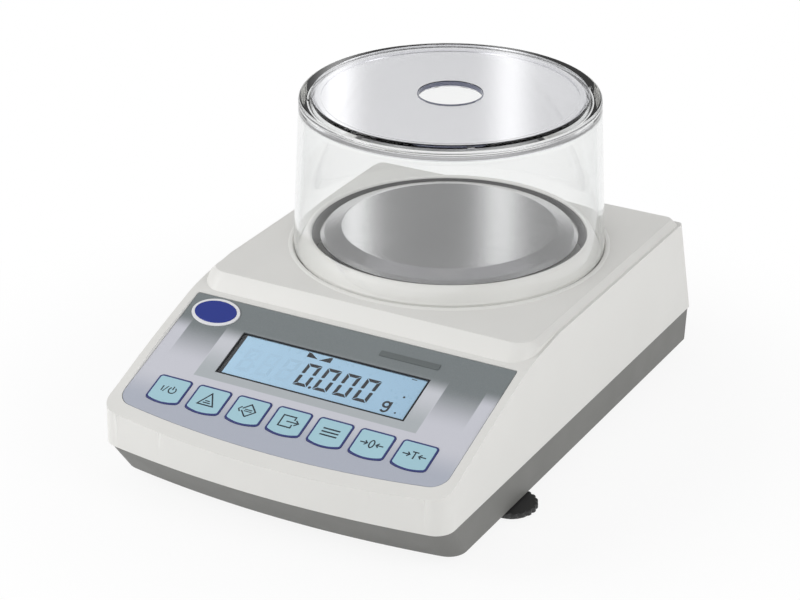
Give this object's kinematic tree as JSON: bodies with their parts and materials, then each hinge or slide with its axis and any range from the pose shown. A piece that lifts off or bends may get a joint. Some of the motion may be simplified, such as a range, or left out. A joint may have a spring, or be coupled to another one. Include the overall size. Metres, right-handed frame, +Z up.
{
  "type": "precision balance",
  "caption": "Bench precision balance with sloping keypad and display, round steel pan, clear draft shield with lift-off lid and turning front feet.",
  "frame": {"origin": "on the table plane, under the middle of the bounding box", "axes": "+Z up, +Y from the keypad to the rear wall, +X to the right for someone facing the keypad"},
  "size_m": [0.2334, 0.327, 0.1846],
  "materials": {
    "shell_white": "fine satin",
    "tray_grey": "fine grain",
    "foil_grey": "silk printed foil",
    "key_blue": "silk printed foil",
    "badge_blue": "glossy, bare",
    "strip_grey": "silk, bare",
    "lcd_blue": "lit from behind",
    "clear_plastic": "clear polished",
    "steel": "brushed",
    "aluminium": "milled",
    "brass": "turned",
    "rubber_black": "dull",
    "plastic_black": "satin",
    "board_green": "lacquered",
    "foil_amber": "foil",
    "label_silver": "silver foil, bare",
    "vial_green": "clear, tinted",
    "diffuser_white": "milky"
  },
  "bodies": {
    "housing": {"upper_housing": "shell_white", "pan_ring": "shell_white", "lower_housing": "tray_grey", "keypad_foil": "foil_grey", "keypad_circuit": "foil_amber", "badge_plate": "badge_blue", "capacity_plate": "strip_grey", "display_frame": "plastic_black", "display_window": "clear_plastic", "lcd_panel": "lcd_blue", "backlight": "diffuser_white", "display_board": "board_green", "display_ribbon": "label_silver", "main_board": "board_green", "processor_chip": "plastic_black", "shield_can": "steel", "buzzer": "plastic_black", "base_plate": "steel", "load_cell": "aluminium", "load_cell_spacer": "aluminium", "load_cell_screw_1": "steel", "load_cell_screw_2": "steel", "strain_gauge_1": "foil_amber", "strain_gauge_2": "foil_amber", "overload_stop": "steel", "rear_bay": "plastic_black", "power_jack": "plastic_black", "serial_port": "steel", "level_body": "plastic_black", "level_vial": "vial_green", "rating_plate": "label_silver", "housing_screw_1": "steel", "housing_screw_2": "steel", "housing_screw_3": "steel", "housing_screw_4": "steel", "rear_foot_left": "rubber_black", "rear_foot_right": "rubber_black", "foot_insert_left": "brass", "foot_insert_right": "brass"},
    "pan_carrier": {"pan_support": "aluminium", "pan_post": "aluminium", "pan_pad_1": "rubber_black", "pan_pad_2": "rubber_black", "pan_pad_3": "rubber_black"},
    "pan": {"weighing_pan": "steel"},
    "shield": {"draft_shield": "clear_plastic"},
    "lid": {"shield_lid": "clear_plastic"},
    "left_foot_pad": {"foot_pad_left": "rubber_black"},
    "left_foot_knob": {"foot_knob_left": "plastic_black"},
    "right_foot_pad": {"foot_pad_right": "rubber_black"},
    "right_foot_knob": {"foot_knob_right": "plastic_black"},
    "key_power_cap": {"key_power": "key_blue"},
    "key_percent_cap": {"key_percent": "key_blue"},
    "key_mode_cap": {"key_mode": "key_blue"},
    "key_print_cap": {"key_print": "key_blue"},
    "key_menu_cap": {"key_menu": "key_blue"},
    "key_zero_cap": {"key_zero": "key_blue"},
    "key_tare_cap": {"key_tare": "key_blue"}
  },
  "joints": [
    {"name": "key_power_press", "type": "slide", "parent": "housing", "child": "key_power_cap", "axis": [0, 0.3385, -0.941], "range_m": [0, 0.00045], "stiffness_N_per_m": 2000, "springref_m": -0.0001},
    {"name": "key_percent_press", "type": "slide", "parent": "housing", "child": "key_percent_cap", "axis": [0, 0.3385, -0.941], "range_m": [0, 0.00045], "stiffness_N_per_m": 2000, "springref_m": -0.0001},
    {"name": "key_mode_press", "type": "slide", "parent": "housing", "child": "key_mode_cap", "axis": [0, 0.3385, -0.941], "range_m": [0, 0.00045], "stiffness_N_per_m": 2000, "springref_m": -0.0001},
    {"name": "key_print_press", "type": "slide", "parent": "housing", "child": "key_print_cap", "axis": [0, 0.3385, -0.941], "range_m": [0, 0.00045], "stiffness_N_per_m": 2000, "springref_m": -0.0001},
    {"name": "key_menu_press", "type": "slide", "parent": "housing", "child": "key_menu_cap", "axis": [0, 0.3385, -0.941], "range_m": [0, 0.00045], "stiffness_N_per_m": 2000, "springref_m": -0.0001},
    {"name": "key_zero_press", "type": "slide", "parent": "housing", "child": "key_zero_cap", "axis": [0, 0.3385, -0.941], "range_m": [0, 0.00045], "stiffness_N_per_m": 2000, "springref_m": -0.0001},
    {"name": "key_tare_press", "type": "slide", "parent": "housing", "child": "key_tare_cap", "axis": [0, 0.3385, -0.941], "range_m": [0, 0.00045], "stiffness_N_per_m": 2000, "springref_m": -0.0001},
    {"name": "pan_load", "type": "slide", "parent": "housing", "child": "pan_carrier", "axis": [0, 0, 1], "range_m": [-0.0004, 0], "stiffness_N_per_m": 8000, "springref_m": 0.0006},
    {"name": "pan_lift", "type": "slide", "parent": "pan_carrier", "child": "pan", "axis": [0, 0, 1], "range_m": [0, 0.04]},
    {"name": "shield_lift", "type": "slide", "parent": "housing", "child": "shield", "axis": [0, 0, 1], "range_m": [0, 0.06]},
    {"name": "lid_lift", "type": "slide", "parent": "shield", "child": "lid", "axis": [0, 0, 1], "range_m": [0, 0.04]},
    {"name": "left_foot_height", "type": "slide", "parent": "housing", "child": "left_foot_pad", "axis": [0, 0, -1], "range_m": [0, 0.004]},
    {"name": "left_foot_turn", "type": "hinge", "parent": "left_foot_pad", "child": "left_foot_knob", "pos_m": [-0.1018, -0.0673, 0], "axis": [0, 0, -1], "range_deg": [0, 1445]},
    {"name": "right_foot_height", "type": "slide", "parent": "housing", "child": "right_foot_pad", "axis": [0, 0, -1], "range_m": [0, 0.004]},
    {"name": "right_foot_turn", "type": "hinge", "parent": "right_foot_pad", "child": "right_foot_knob", "pos_m": [0.1018, -0.0673, 0], "axis": [0, 0, -1], "range_deg": [0, 1445]}
  ],
  "couplings": [
    {"joint": "left_foot_turn", "follows": "left_foot_height", "rad_per_m": 6283.2},
    {"joint": "right_foot_turn", "follows": "right_foot_height", "rad_per_m": 6283.2}
  ]
}
